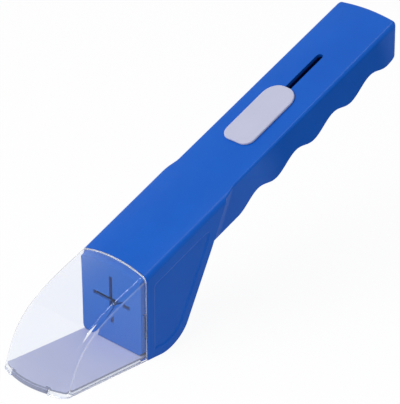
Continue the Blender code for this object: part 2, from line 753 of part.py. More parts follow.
def pad_ring(inset, above):
    """Outline of the thumb pad drawn in by an inset, laid over the crown."""
    half = PAD_WIDTH / 2 - inset
    front = PAD_START + inset
    rear = PAD_START + PAD_LENGTH - inset
    front_radius = min(max(PAD_FRONT_RADIUS - inset, FIT_GAP), half)
    rear_radius = min(max(PAD_REAR_RADIUS - inset, FIT_GAP), half)
    corners = (
        (rear - rear_radius, half - rear_radius, rear_radius, 0),
        (front + front_radius, half - front_radius, front_radius, 1),
        (front + front_radius, front_radius - half, front_radius, 2),
        (rear - rear_radius, rear_radius - half, rear_radius, 3),
    )
    ring = []
    for along, across, radius, quarter in corners:
        for step in range(ARC_STEPS + 1):
            angle = math.pi / 2 * (quarter + step / ARC_STEPS)
            u = along + radius * math.cos(angle)
            v = across + radius * math.sin(angle)
            ring.append(on_slope(u, v, handle_skin(v) + FIT_GAP + above))
    return ring


def make_thumb_pad():
    """Thumb pad over the slot, with the stem that reaches the carriage."""
    rings = []
    insets = [PAD_WIDTH * share for share in (0.48, 0.36, 0.2)]
    rings += [pad_ring(inset, 0.0) for inset in insets]
    rings.append(pad_ring(0.0, 0.0))
    for step in range(4):
        angle = math.pi / 2 * step / 3
        inset = PAD_EDGE * (1 - math.cos(angle))
        rings.append(pad_ring(inset, PAD_THICKNESS - PAD_EDGE * (1 - math.sin(angle))))
    rings += [pad_ring(inset, PAD_THICKNESS) for inset in reversed(insets)]
    pad = loft("thumb_pad", rings)
    end = STEM_START + STEM_LENGTH
    outline = slot_outline(STEM_START, end, STEM_WIDTH)
    low = carriage_top() - CARRIAGE_THICKNESS
    high = handle_skin(STEM_WIDTH / 2) + FIT_GAP + PAD_THICKNESS / 2
    join(pad, slope_prism("stem", outline, low, high))
    return pad


def make_screw(index, along, across):
    """Self-tapping screw that holds the cover to a pillar of the case."""
    foot = on_slope(along, across, -GRIP_DEPTH + SCREW_SINK)
    rise = SCREW_HEAD_HEIGHT
    tip = PILLAR_FOOT - SCREW_SINK + SCREW_GRIP
    profile = [
        (0.0, SCREW_HEAD_RADIUS * 0.7),
        (rise * 0.35, SCREW_HEAD_RADIUS),
        (rise, SCREW_HEAD_RADIUS),
        (rise, SCREW_RADIUS),
        (tip - SCREW_RADIUS, SCREW_RADIUS),
        (tip, SCREW_RADIUS * 0.5),
    ]
    return turned("cover_screw_%d" % (index + 1), foot, NORMAL, profile)


def make_material(name, colour, roughness, metallic=0.0, clear=0.0):
    """Plain surface for one kind of plastic or metal."""
    material = bpy.data.materials.new(name)
    material.use_nodes = True
    shader = material.node_tree.nodes["Principled BSDF"]
    shader.inputs["Base Color"].default_value = (*colour, 1.0)
    shader.inputs["Roughness"].default_value = roughness
    shader.inputs["Metallic"].default_value = metallic
    shader.inputs["Transmission Weight"].default_value = clear
    return material


def place(piece, material, origin, root):
    """Give a piece its material, its origin and its parent."""
    piece.data.transform(Matrix.Translation(-origin))
    piece.location = origin
    piece.parent = root
    piece.data.materials.clear()
    piece.data.materials.append(material)
    for polygon in piece.data.polygons:
        polygon.material_index = 0
    piece.data.shade_smooth()
    piece.data.set_sharp_from_angle(angle=math.radians(32))


def main():
    for old in list(bpy.data.objects):
        bpy.data.objects.remove(old, do_unlink=True)
    blue = make_material("blue_plastic", (0.016, 0.12, 0.58), 0.35)
    clear = make_material("clear_plastic", (0.95, 0.96, 1.0), 0.05, clear=1.0)
    grey = make_material("grey_plastic", (0.49, 0.51, 0.72), 0.45)
    steel = make_material("screw_steel", (0.55, 0.56, 0.58), 0.3, metallic=1.0)
    root = bpy.data.objects.new("insect_catcher", None)
    bpy.context.scene.collection.objects.link(root)
    front = lip_reach(0.0, DOOR_BOTTOM, 0.0)
    root.location = (-(front + REAR_X) / 2, 0.0, 0.0)

    still = Vector((0.0, 0.0, 0.0))
    place(make_upper_shell(), blue, still, root)
    place(make_grip_cover(), blue, still, root)
    place(make_bulkhead(), blue, still, root)
    place(make_scoop(), clear, still, root)
    slide = on_slope(STEM_START + STEM_LENGTH / 2, 0.0, 0.0)
    place(make_thumb_pad(), grey, slide, root)
    place(make_carriage(), grey, slide, root)
    place(make_door_tip(), grey, Vector((TIP_REAR, 0.0, DOOR_MIDDLE)), root)
    for index in range(STRIP_COUNT):
        place(make_door_strip(index), grey, bend_axis(index), root)
    place(make_door_panel(), grey, bend_axis(STRIP_COUNT), root)
    place(make_strap(), grey, still, root)
    for index, (along, across) in enumerate(screw_places()):
        foot = on_slope(along, across, -GRIP_DEPTH)
        place(make_screw(index, along, across), steel, foot, root)


main()
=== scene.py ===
# %% [markdown]
# # A clear-scoop insect catcher, from bare solids to a finished look
# The catcher has a blue handle with finger grooves, a clear scoop at the front and a thin
# grey trap door that a thumb pad slides under the scoop. The bare solids come from the packed
# model, with every joint in place. This lesson dresses them: smooth mouldings, clear plastic,
# a seamless door, a camera and a plain studio.

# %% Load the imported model
import json
import math

import bmesh
import bpy
from mathutils import Matrix, Vector, kdtree

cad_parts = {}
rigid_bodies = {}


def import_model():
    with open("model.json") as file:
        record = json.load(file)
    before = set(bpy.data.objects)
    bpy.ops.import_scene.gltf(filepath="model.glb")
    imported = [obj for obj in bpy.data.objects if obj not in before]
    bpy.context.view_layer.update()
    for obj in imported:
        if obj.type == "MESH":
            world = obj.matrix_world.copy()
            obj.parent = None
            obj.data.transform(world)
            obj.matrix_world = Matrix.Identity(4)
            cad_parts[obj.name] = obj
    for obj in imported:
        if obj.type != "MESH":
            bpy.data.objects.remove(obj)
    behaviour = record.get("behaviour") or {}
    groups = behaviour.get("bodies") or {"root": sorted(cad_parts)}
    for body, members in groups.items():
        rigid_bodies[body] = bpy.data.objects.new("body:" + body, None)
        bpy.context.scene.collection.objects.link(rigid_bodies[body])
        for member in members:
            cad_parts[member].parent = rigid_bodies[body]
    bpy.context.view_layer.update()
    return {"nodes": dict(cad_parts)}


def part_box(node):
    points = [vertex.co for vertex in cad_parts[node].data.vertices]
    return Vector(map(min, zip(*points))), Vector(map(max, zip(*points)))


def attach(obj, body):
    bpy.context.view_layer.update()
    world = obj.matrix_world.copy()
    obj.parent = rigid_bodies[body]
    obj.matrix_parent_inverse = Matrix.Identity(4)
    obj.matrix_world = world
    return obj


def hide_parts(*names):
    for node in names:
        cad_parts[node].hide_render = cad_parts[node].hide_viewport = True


for leftover in list(bpy.data.objects):
    bpy.data.objects.remove(leftover)
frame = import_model()
nodes = frame["nodes"]
RIM_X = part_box("upper_shell")[0].x
print("solids:", len(nodes), "rim plane at x =", round(RIM_X, 5))

# %% [markdown]
# ## The camera
# The product picture was taken from far away with a long lens, looking down at about 27
# degrees at the scoop's near corner. A long lens keeps the handle's edges almost parallel.
# The viewing direction is written as two angles and a distance, because those are easy to
# change one at a time.

# %% Camera
CAMERA_AZIMUTH = math.radians(-44.56)
CAMERA_ELEVATION = math.radians(26.63)
CAMERA_DISTANCE = 1.3439
CAMERA_TARGET = Vector((RIM_X + 0.05485, 0.0, 0.05449))
LENS_LENGTH = 258.8
SENSOR_WIDTH = 36.0

away = Vector((
    math.sin(CAMERA_AZIMUTH) * math.cos(CAMERA_ELEVATION),
    -math.cos(CAMERA_AZIMUTH) * math.cos(CAMERA_ELEVATION),
    math.sin(CAMERA_ELEVATION),
))
lens = bpy.data.cameras.new("camera")
lens.lens = LENS_LENGTH
lens.sensor_width = SENSOR_WIDTH
lens.sensor_fit = "HORIZONTAL"
camera = bpy.data.objects.new("camera", lens)
camera.location = CAMERA_TARGET + away * CAMERA_DISTANCE
camera.rotation_mode = "QUATERNION"
camera.rotation_quaternion = (-away).to_track_quat("-Z", "Y")
bpy.context.scene.collection.objects.link(camera)
bpy.context.scene.camera = camera
bpy.context.scene.view_settings.view_transform = "Standard"
print("camera at", [round(c, 3) for c in camera.location])

# %% [markdown]
# ## Helpers for shapes
# Every piece is drawn in a frame whose x = 0 is the rim where scoop and head meet, because
# that plane is shared by both. When a piece is done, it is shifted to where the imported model
# has that rim, and its object stays at the origin. Holes and unions are made by the Boolean
# modifier, and its result is taken over at once, so no cutting block stays in the scene.

# %% Shape helpers
TINY = 1e-6
CUT_SNAP = 1e-7


def as_object(shape, name):
    """Turn a bmesh into an object and free the bmesh."""
    mesh = bpy.data.meshes.new(name)
    shape.to_mesh(mesh)
    shape.free()
    made = bpy.data.objects.new(name, mesh)
    bpy.context.scene.collection.objects.link(made)
    return made


def settle(piece):
    """Take over the result of a piece's modifiers as its mesh."""
    graph = bpy.context.evaluated_depsgraph_get()
    result = bpy.data.meshes.new_from_object(piece.evaluated_get(graph))
    piece.modifiers.clear()
    piece.data = result
    return piece


def combine(piece, tool, operation):
    """Cut, keep or join one solid with another; the second is used up."""
    step = piece.modifiers.new("step", "BOOLEAN")
    step.object = tool
    step.operation = operation
    step.solver = "EXACT"
    settle(piece)
    bpy.data.objects.remove(tool)
    return piece


def block(low, high):
    """Plain cutting block between two corners."""
    shape = bmesh.new()
    bmesh.ops.create_cube(shape, size=1.0)
    low, high = Vector(low), Vector(high)
    bmesh.ops.scale(shape, vec=high - low, verts=shape.verts)
    bmesh.ops.translate(shape, vec=(low + high) / 2, verts=shape.verts)
    return as_object(shape, "tool")


def pull(shape, faces, vector):
    """Extrude faces and move the new end by a vector."""
    made = bmesh.ops.extrude_face_region(shape, geom=faces)
    moved = [item for item in made["geom"] if isinstance(item, bmesh.types.BMVert)]
    bmesh.ops.translate(shape, vec=vector, verts=moved)
    bmesh.ops.recalc_face_normals(shape, faces=shape.faces)
    return moved


def slice_through(shape, place, normal):
    """Cut every face along a plane, so that the shape can bend there."""
    bmesh.ops.bisect_plane(
        shape, geom=shape.verts[:] + shape.edges[:] + shape.faces[:], dist=CUT_SNAP,
        plane_co=place, plane_no=normal,
    )


def round_points(shape, places, length, segments):
    """Round corners of a flat outline; length is how far the curve reaches."""
    points = [min(shape.verts, key=lambda point: (point.co - place).length) for place in places]
    bmesh.ops.bevel(
        shape, geom=points, offset=length, offset_type="OFFSET", segments=segments,
        profile=0.5, affect="VERTICES", material=-1,
    )


def round_edges(shape, edges, radius, segments):
    """Round edges of a solid."""
    bmesh.ops.bevel(
        shape, geom=edges, offset=radius, offset_type="OFFSET", segments=segments,
        profile=0.5, affect="EDGES", material=-1, clamp_overlap=False,
    )


print("points within", TINY, "m count as one")

# %% [markdown]
# ## Helpers for finished pieces
# A mould leaves no sharp edge, so a narrow Bevel runs along each crisp one, and weighted normals
# keep the flat faces flat beside it. The last helper gives a piece its finish, the body that it
# rides on and the solid that it stands for, so no piece is left without one.

# %% Finishing helpers
CRISP_ANGLE = 40.0
FLAT_ANGLE = math.radians(0.6)


def soften(piece, width, segments=2, angle=CRISP_ANGLE):
    """Small round on every crisp edge, then smooth shading that keeps flat faces flat."""
    bevel = piece.modifiers.new("edges", "BEVEL")
    bevel.width = width
    bevel.segments = segments
    bevel.limit_method = "ANGLE"
    bevel.angle_limit = math.radians(angle)
    bevel.profile = 0.5
    settle(piece)
    smooth(piece)


def smooth(piece):
    """Smooth shading with crisp edges where the faces turn sharply."""
    piece.data.shade_smooth()
    piece.data.set_sharp_from_angle(angle=math.radians(CRISP_ANGLE))
    weighted = piece.modifiers.new("weighted", "WEIGHTED_NORMAL")
    weighted.keep_sharp = True
    settle(piece)


def finish_piece(piece, material, body, slot, *stands_for):
    """Give a piece its finish, its body and the solids it stands for."""
    piece.data.transform(Matrix.Translation((RIM_X, 0.0, 0.0)))
    piece.data.materials.clear()
    piece.data.materials.append(material)
    for face in piece.data.polygons:
        face.material_index = 0
    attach(piece, body)
    if stands_for:
        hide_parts(*stands_for)
    print(piece.name, "faces:", len(piece.data.polygons))


def copied(node):
    """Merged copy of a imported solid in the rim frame, with its flat parts as single faces."""
    shape = bmesh.new()
    shape.from_mesh(nodes[node].data)
    bmesh.ops.translate(shape, vec=(-RIM_X, 0.0, 0.0), verts=shape.verts)
    bmesh.ops.remove_doubles(shape, verts=shape.verts, dist=TINY)
    bmesh.ops.dissolve_limit(
        shape, angle_limit=FLAT_ANGLE, verts=shape.verts, edges=shape.edges,
    )
    return shape


print("edges are crisp past", CRISP_ANGLE, "degrees")

# %% [markdown]
# ## Finishes
# The blue case is injection-moulded with a fine satin texture: a very slight mottling of the
# colour, a grain finer than a hair, and a soft gloss. The same recipe with other colours gives
# the pale grey pad and the door. A lighter copy of the case blue is painted light on the
# bulkhead, and a darker grey is painted shade on the door's tongue and edges.
# Object coordinates keep the grain fixed to each piece. Noise seldom leaves the middle of its
# range, so each ramp runs over that middle only.

# %% Patterns
NOISE_LOW = 0.3
NOISE_HIGH = 0.7


def ramp_between(tree, source, low, high):
    """Colour ramp between two colours, driven by a pattern."""
    ramp = tree.nodes.new("ShaderNodeValToRGB")
    ramp.color_ramp.elements[0].position = NOISE_LOW
    ramp.color_ramp.elements[1].position = NOISE_HIGH
    ramp.color_ramp.elements[0].color = (*low, 1.0)
    ramp.color_ramp.elements[1].color = (*high, 1.0)
    tree.links.new(source, ramp.inputs["Fac"])
    return ramp.outputs["Color"]


def range_between(tree, source, low, high, start=NOISE_LOW, end=NOISE_HIGH):
    """Number that goes from low to high while its source goes from start to end."""
    spread = tree.nodes.new("ShaderNodeMapRange")
    spread.inputs["From Min"].default_value = start
    spread.inputs["From Max"].default_value = end
    spread.inputs["To Min"].default_value = low
    spread.inputs["To Max"].default_value = high
    tree.links.new(source, spread.inputs["Value"])
    return spread.outputs["Result"]


def pattern(tree, scale, detail):
    """Soft noise fixed to the piece; scale is in features per metre."""
    place = tree.nodes.new("ShaderNodeTexCoord")
    noise = tree.nodes.new("ShaderNodeTexNoise")
    noise.inputs["Scale"].default_value = scale
    noise.inputs["Detail"].default_value = detail
    tree.links.new(place.outputs["Object"], noise.inputs["Vector"])
    return noise.outputs["Fac"]


print("ramps run from", NOISE_LOW, "to", NOISE_HIGH)

# %% Moulded plastic
MOTTLE_SCALE = 45.0
WEAR_SCALE = 160.0
GRAIN_STRENGTH = 0.25


def moulded(name, low, high, gloss, specular, grain_scale, grain_depth):
    """Satin moulded plastic: mottled colour, uneven gloss and a fine grain."""
    material = bpy.data.materials.new(name)
    material.use_nodes = True
    tree = material.node_tree
    shader = tree.nodes["Principled BSDF"]
    mottle = pattern(tree, MOTTLE_SCALE, 3.0)
    tree.links.new(ramp_between(tree, mottle, low, high), shader.inputs["Base Color"])
    wear = pattern(tree, WEAR_SCALE, 4.0)
    tree.links.new(range_between(tree, wear, *gloss), shader.inputs["Roughness"])
    shader.inputs["Specular IOR Level"].default_value = specular
    bump = tree.nodes.new("ShaderNodeBump")
    bump.inputs["Strength"].default_value = GRAIN_STRENGTH
    bump.inputs["Distance"].default_value = grain_depth
    tree.links.new(pattern(tree, grain_scale, 2.0), bump.inputs["Height"])
    tree.links.new(bump.outputs["Normal"], shader.inputs["Normal"])
    return material


blue = moulded(
    "blue_case_plastic", low=(0.0012, 0.106, 0.560), high=(0.0020, 0.116, 0.595),
    gloss=(0.34, 0.44), specular=0.17, grain_scale=2400.0, grain_depth=0.00003,
)
# Painted light: a lighter copy of the case blue, so the bulkhead looks more brightly lit.
lit_bulkhead_blue = moulded(
    "blue_bulkhead_painted_light", low=(0.0015, 0.128, 0.560), high=(0.0025, 0.138, 0.595),
    gloss=(0.34, 0.44), specular=0.17, grain_scale=2400.0, grain_depth=0.00003,
)
pale = moulded(
    "pale_pad_plastic", low=(0.545, 0.560, 0.735), high=(0.575, 0.590, 0.765),
    gloss=(0.40, 0.52), specular=0.30, grain_scale=2000.0, grain_depth=0.00002,
)
grey = moulded(
    "grey_door_plastic", low=(0.500, 0.530, 0.745), high=(0.530, 0.560, 0.775),
    gloss=(0.36, 0.48), specular=0.30, grain_scale=1500.0, grain_depth=0.00002,
)
# Painted shade: a darker copy of the door's grey, for the tongue's front, the door's side edges and
# the scoop's notch.
tongue_shade_grey = moulded(
    "grey_tongue_painted_shade", low=(0.290, 0.318, 0.440), high=(0.310, 0.338, 0.462),
    gloss=(0.50, 0.60), specular=0.20, grain_scale=1500.0, grain_depth=0.00004,
)
print("plastics:", [m.name for m in (blue, lit_bulkhead_blue, pale, grey, tongue_shade_grey)])

# %% [markdown]
# ## Clear plastic
# The scoop is clear styrene with a trace of blue. A full transmission shader on a wall with
# real thickness gives the bright and dark lines at its edges by itself. Handling leaves the
# gloss a little uneven, so the roughness wanders by a few hundredths. The cut edges at the rim
# and the mouth are satin, the same plastic with a rougher skin. Light that enters an edge is
# thrown to and fro between the walls, so it is allowed many bounces.

# %% Clear plastic
STYRENE_IOR = 1.50
MIRROR_TINT = (0.50, 0.52, 0.58, 1.0)
SMEAR_SCALE = 60.0
LIGHT_BOUNCES = 48


def clear_plastic(name, low, high, gloss):
    """Clear styrene with a trace of blue; gloss gives the range of its roughness."""
    material = bpy.data.materials.new(name)
    material.use_nodes = True
    tree = material.node_tree
    shader = tree.nodes["Principled BSDF"]
    shader.inputs["Transmission Weight"].default_value = 1.0
    shader.inputs["IOR"].default_value = STYRENE_IOR
    shader.inputs["Specular Tint"].default_value = MIRROR_TINT
    smear = pattern(tree, SMEAR_SCALE, 3.0)
    tree.links.new(ramp_between(tree, smear, low, high), shader.inputs["Base Color"])
    tree.links.new(range_between(tree, smear, *gloss), shader.inputs["Roughness"])
    return material


clear = clear_plastic(
    "clear_scoop_plastic", low=(0.950, 0.965, 0.997), high=(0.962, 0.974, 1.0), gloss=(0.0, 0.04),
)
satin_edge = clear_plastic(
    "clear_scoop_edge", low=(0.86, 0.90, 0.97), high=(0.88, 0.915, 0.98), gloss=(0.42, 0.52),
)
light_paths = bpy.context.scene.cycles
light_paths.max_bounces = LIGHT_BOUNCES
light_paths.glossy_bounces = LIGHT_BOUNCES
light_paths.transmission_bounces = LIGHT_BOUNCES
print("clear plastics:", clear.name, satin_edge.name)

# %% [markdown]
# ## Screw steel
# Zinc-plated steel is bright and a little bluish, with a fine uneven crystal skin. Turning lines
# would be too fine to see on a screw this small, so a fine noise in the colour and the roughness
# is enough.

# %% Zinc-plated steel
ZINC_SCALE = 1800.0
steel = bpy.data.materials.new("zinc_steel")
steel.use_nodes = True
steel_tree = steel.node_tree
steel_shader = steel_tree.nodes["Principled BSDF"]
steel_shader.inputs["Metallic"].default_value = 1.0
crystals = pattern(steel_tree, ZINC_SCALE, 3.0)
steel_tree.links.new(
    ramp_between(steel_tree, crystals, (0.50, 0.51, 0.54), (0.62, 0.63, 0.65)),
    steel_shader.inputs["Base Color"],
)
steel_tree.links.new(
    range_between(steel_tree, crystals, 0.25, 0.42), steel_shader.inputs["Roughness"],
)
print("steel:", steel.name)

# %% [markdown]
# ## The case in side view
# The head stands on a flat sole, turns up round a heel, leans back at 64 degrees and meets the
# handle, which rises at 24 degrees. Under the handle run four finger grooves. The outline could
# be traced point by point, but six corners are enough: heel and neck are rounded by a bevel, and
# later the long lower edge is divided and pushed into waves.

# %% Sizes of the case
SLOPE = math.radians(24.0)
BACK = math.radians(64.0)
RIM_HEIGHT = 0.0429
TOP_LENGTH = 0.1853
SOLE_LENGTH = 0.0086
HEEL_RADIUS = 0.0190
NECK_RADIUS = 0.0015
GRIP_DEPTH = 0.0169
GROOVE_DEPTH = 0.0038
GROOVE_PITCH = 0.0277
GROOVE_COUNT = 4
GROOVE_TO_REAR = 0.0287
REAR_RISE = 0.0022
REAR_RADIUS = 0.0012
GRIP_CUTS = 139
ALONG = Vector((math.cos(SLOPE), 0.0, math.sin(SLOPE)))
NORMAL = Vector((-math.sin(SLOPE), 0.0, math.cos(SLOPE)))
RIM = Vector((0.0, 0.0, RIM_HEIGHT))
REAR_X = TOP_LENGTH * math.cos(SLOPE)
HEEL_REACH = HEEL_RADIUS * math.tan(BACK / 2)
HEEL_X = SOLE_LENGTH + HEEL_REACH
LAST_CREST = TOP_LENGTH - GROOVE_TO_REAR + GROOVE_PITCH / 2
FIRST_CREST = LAST_CREST - GROOVE_COUNT * GROOVE_PITCH


def on_slope(along, across, above):
    """Point given along the handle, across it and above its shoulder line."""
    return RIM + ALONG * along + NORMAL * above + Vector((0.0, across, 0.0))


def top_height(x):
    """Height of the shoulder line over a place on the sole line."""
    return RIM_HEIGHT + x * math.tan(SLOPE)


def groove_rise(along):
    """How far the grip's lower edge is lifted at a place along the handle."""
    if along < FIRST_CREST:
        return 0.0
    wave = 0.5 - 0.5 * math.cos(2 * math.pi * (along - FIRST_CREST) / GROOVE_PITCH)
    return wave * (GROOVE_DEPTH if along < LAST_CREST else REAR_RISE)


def on_grip_line(point):
    """Whether a point lies on the straight line that the grooves start from."""
    return abs((point.co - RIM).dot(NORMAL) + GRIP_DEPTH) < TINY


def wave_grip(shape):
    """Divide the lower edge of the grip and push it into finger grooves."""
    straight = [edge for edge in shape.edges if all(map(on_grip_line, edge.verts))]
    lower = [edge for edge in straight if edge.calc_length() > TOP_LENGTH / 2]
    bmesh.ops.subdivide_edges(shape, edges=lower, cuts=GRIP_CUTS)
    for point in shape.verts:
        if on_grip_line(point):
            rise = groove_rise((point.co - RIM).dot(ALONG)) / math.cos(SLOPE)
            from_rear = max(point.co.x - (REAR_X - REAR_RADIUS), 0.0)
            corner = REAR_RADIUS - math.sqrt(max(REAR_RADIUS**2 - from_rear**2, 0.0))
            point.co.z += rise + corner


def neck_corner():
    """Corner where the head's back meets the handle's lower line."""
    grip = on_slope(0.0, 0.0, -GRIP_DEPTH)
    x = (grip.z - grip.x * math.tan(SLOPE) + HEEL_X * math.tan(BACK)) / (
        math.tan(BACK) - math.tan(SLOPE)
    )
    return Vector((x, 0.0, (x - HEEL_X) * math.tan(BACK)))


def case_side(half):
    """Side view of the case as one flat face at one side."""
    neck = neck_corner()
    rear_z = neck.z + (REAR_X - neck.x) * math.tan(SLOPE)
    shape = bmesh.new()
    outline = [
        (0.0, 0.0), (HEEL_X, 0.0), (neck.x, neck.z),
        (REAR_X, rear_z), (REAR_X, top_height(REAR_X)), (0.0, RIM_HEIGHT),
    ]
    places = [Vector((x, -half, z)) for x, z in outline]
    shape.faces.new([shape.verts.new(place) for place in places])
    round_points(shape, [places[1]], HEEL_REACH, segments=16)
    round_points(shape, [places[2]], NECK_RADIUS * math.tan((BACK - SLOPE) / 2), segments=4)
    return shape


print("case: top line", TOP_LENGTH, "m, rear face at x =", round(REAR_X, 4))

# %% [markdown]
# ## The waist
# The handle is narrower than the head. On each cheek the change is a crease that runs straight
# from the shoulder down to the neck's corner, with a soft S-curve behind it that gets shorter
# towards the neck. The crease could be cut with a Boolean, but then the walls would keep their
# old inside. A formula for the half width is easier: any point can be asked how far behind the
# crease it lies, and moves inwards by that share.

# %% Waist
WAIST_START = 0.0565
WAIST_LENGTH = 0.0090
NECK_LENGTH = 0.0025
WAIST_STEP = 0.0006
STEP_SHARE = 0.6
HEAD_HALF = 0.0215
HANDLE_HALF = 0.0190
SHOULDER_RADIUS = 0.0024
WAIST_TOP = on_slope(WAIST_START, 0.0, 0.0)
WAIST_LINE = (neck_corner() - WAIST_TOP).normalized()


def waist_share(x, z):
    """How far behind the waist line a point lies: 0 on the head, 1 on the handle."""
    place = Vector((x, 0.0, z)) - WAIST_TOP
    behind = max(place.cross(WAIST_LINE).y / ALONG.cross(WAIST_LINE).y, 0.0)
    depth = min(max(-place.dot(NORMAL) / GRIP_DEPTH, 0.0), 1.0)
    length = WAIST_LENGTH + (NECK_LENGTH - WAIST_LENGTH) * depth
    step = min(behind / WAIST_STEP, 1.0)
    sweep = (1.0 - math.cos(math.pi * min(behind / length, 1.0))) / 2
    share = STEP_SHARE * min(depth * GRIP_DEPTH / SHOULDER_RADIUS, 1.0)
    return share * step + (1.0 - share) * sweep


def half_width(x, z):
    """Half width of the case: wide head, crisp waist line, narrow handle."""
    return HEAD_HALF + (HANDLE_HALF - HEAD_HALF) * waist_share(x, z)


print("half width: head", HEAD_HALF, "m, handle", HANDLE_HALF, "m")

# %% [markdown]
# ## The blue shell
# The shell is one moulding: top, sides and rear. The side face is pulled across to a block, its
# underside and front are taken off, and its shoulders are rounded. Planes cut it at the waist,
# so that it can bend there, and the top is arched. Solidify gives it a wall while it is still
# straight, because an even wall folds over itself at a crease. Only then do the handle's
# shoulders get tighter on the outer skin, and everything behind the waist is drawn in.

# %% Open skin
RIM_CROWN = 0.0030
HANDLE_CROWN = 0.0011
HANDLE_RADIUS = 0.0010
REAR_BOW = 0.0005
REAR_ZONE = REAR_X - 1.2 * SHOULDER_RADIUS
CROWN_ZONE = 1.6 * SHOULDER_RADIUS
WAIST_CUTS = 8
CUT_SPREAD = 1.5
TOP_CUTS = 15
SIDEWAYS = 0.5


def on_top(point):
    """Whether a point lies on the shoulder line's plane."""
    return abs(point.co.z - top_height(point.co.x)) < TINY


def open_case():
    """Top, sides and rear of the case as an open skin with rounded shoulders."""
    shape = case_side(HEAD_HALF)
    pull(shape, shape.faces[:], (0.0, 2 * HEAD_HALF, 0.0))
    unwanted = []
    for face in shape.faces:
        rear = all(point.co.x > REAR_X - TINY for point in face.verts)
        top = all(on_top(point) for point in face.verts)
        if abs(face.normal.y) < SIDEWAYS and not rear and not top:
            unwanted.append(face)
    bmesh.ops.delete(shape, geom=unwanted, context="FACES")
    edges = []
    for edge in shape.edges:
        a, b = edge.verts
        along_side = a.co.y * b.co.y > 0
        rear = min(a.co.x, b.co.x) > REAR_X - TINY
        top = on_top(a) and on_top(b)
        if len(edge.link_faces) == 2 and ((top and along_side) or rear):
            edges.append(edge)
    round_edges(shape, edges, SHOULDER_RADIUS, segments=6)
    wave_grip(shape)
    return shape


def cut_waist(shape):
    """Cut the skin across at the waist and note how far the handle's tighter shoulders move."""
    moves = shape.verts.layers.float_vector.new("tighter")
    reach = WAIST_LENGTH - WAIST_STEP
    shares = [(step / WAIST_CUTS) ** CUT_SPREAD for step in range(WAIST_CUTS + 1)]
    across = (-WAIST_LINE.z, 0.0, WAIST_LINE.x)
    for behind in [0.0] + [WAIST_STEP + reach * share for share in shares]:
        slice_through(shape, WAIST_TOP + ALONG * behind, across)
    depth = SHOULDER_RADIUS / math.cos(SLOPE)
    for point in shape.verts:
        x, y, z = point.co
        inwards = HEAD_HALF - abs(y)
        drop = top_height(x) - z
        shoulder = inwards < SHOULDER_RADIUS + TINY and drop < depth + TINY
        if shoulder and x < REAR_ZONE:
            tighter = (1.0 - HANDLE_RADIUS / SHOULDER_RADIUS) * waist_share(x, z)
            point[moves] = (0.0, math.copysign(inwards * tighter, y), drop * tighter)


def arch(shape):
    """Divide the top across and raise it to its crown."""
    across = [e for e in shape.edges if e.verts[0].co.y * e.verts[1].co.y < 0]
    bmesh.ops.subdivide_edges(shape, edges=across, cuts=TOP_CUTS, use_grid_fill=True)
    waist = (WAIST_START + WAIST_LENGTH) * math.cos(SLOPE)
    moves = shape.verts.layers.float_vector["tighter"]
    for point in shape.verts:
        x, y, z = point.co
        share = min(((y + point[moves].y) / HEAD_HALF) ** 2, 1.0)
        crown = RIM_CROWN + (HANDLE_CROWN - RIM_CROWN) * min(x / waist, 1.0)
        if x > REAR_ZONE:
            point.co -= ALONG * REAR_BOW * share
        if top_height(x) - z < CROWN_ZONE:
            point.co.z += crown * (1.0 - share)


print("top is raised by", RIM_CROWN, "m at the rim and", HANDLE_CROWN, "m on the handle")

# %% Walled shell
CASE_WALL = 0.0018
FIT_GAP = 0.0003


def tighten(shell, outside):
    """Move the shoulders of the outer skin, which holds the first points of the walled shell."""
    moves = shell.data.attributes["tighter"]
    for point in shell.data.vertices[:outside]:
        point.co += moves.data[point.index].vector
    shell.data.attributes.remove(moves)


def draw_in(shell):
    """Move everything behind the waist inwards, walls as a whole and the top in proportion."""
    core = HEAD_HALF - 2 * SHOULDER_RADIUS
    for point in shell.data.vertices:
        x, y, z = point.co
        inwards = HEAD_HALF - half_width(x, z)
        point.co.y -= math.copysign(inwards * min(abs(y) / core, 1.0), y)


def make_shell():
    """Blue moulding of top, sides and rear."""
    shape = open_case()
    cut_waist(shape)
    arch(shape)
    outside = len(shape.verts)
    shell = as_object(shape, "blue_shell")
    wall = shell.modifiers.new("wall", "SOLIDIFY")
    wall.thickness = CASE_WALL
    wall.offset = -1.0
    wall.use_even_offset = True
    settle(shell)
    tighten(shell, outside)
    draw_in(shell)
    return shell


shell = make_shell()
print("shell skin faces:", len(shell.data.polygons))

# %% [markdown]
# ## Wear and painted shade on the grip
# Fingers take the gloss off the sides of the handle, so they look flatter than the cheeks, and a
# painted shade makes them darker. A second material with a border would show a line. Instead,
# the blue plastic gets a mask: 1 where the surface faces sideways and lies between the waist and
# the rear end, fading out softly. The mask lowers the sheen, and it paints shade by lowering the
# tone.

# %% Worn grip
GRIP_BEGINS = (0.076, 0.098)
GRIP_ENDS = (0.166, 0.178)
GRIP_FACING = (0.8, 0.98)
WORN_SHEEN = 0.045
# Painted shade: the grip's sides keep this share of their tone.
GRIP_SHADE_TONE = 0.88


def worked_out(tree, operation, *sources):
    """Result of a Math node."""
    step = tree.nodes.new("ShaderNodeMath")
    step.operation = operation
    for index, source in enumerate(sources):
        tree.links.new(source, step.inputs[index])
    return step.outputs["Value"]


def grip_mask(tree):
    """1 on the sides of the handle, 0 elsewhere."""
    place = tree.nodes.new("ShaderNodeTexCoord")
    along = tree.nodes.new("ShaderNodeVectorMath")
    along.operation = "DOT_PRODUCT"
    along.inputs[1].default_value = ALONG
    tree.links.new(place.outputs["Object"], along.inputs[0])
    rim = (RIM + Vector((RIM_X, 0.0, 0.0))).dot(ALONG)
    shares = []
    for start, end in (GRIP_BEGINS, GRIP_ENDS):
        share = range_between(tree, along.outputs["Value"], 0.0, 1.0, rim + start, rim + end)
        share.node.interpolation_type = "SMOOTHSTEP"
        shares.append(share)
    zone = worked_out(tree, "SUBTRACT", *shares)
    facing = tree.nodes.new("ShaderNodeSeparateXYZ")
    tree.links.new(place.outputs["Normal"], facing.inputs["Vector"])
    sideways = worked_out(tree, "ABSOLUTE", facing.outputs["Y"])
    return worked_out(tree, "MULTIPLY", zone, range_between(tree, sideways, 0.0, 1.0, *GRIP_FACING))


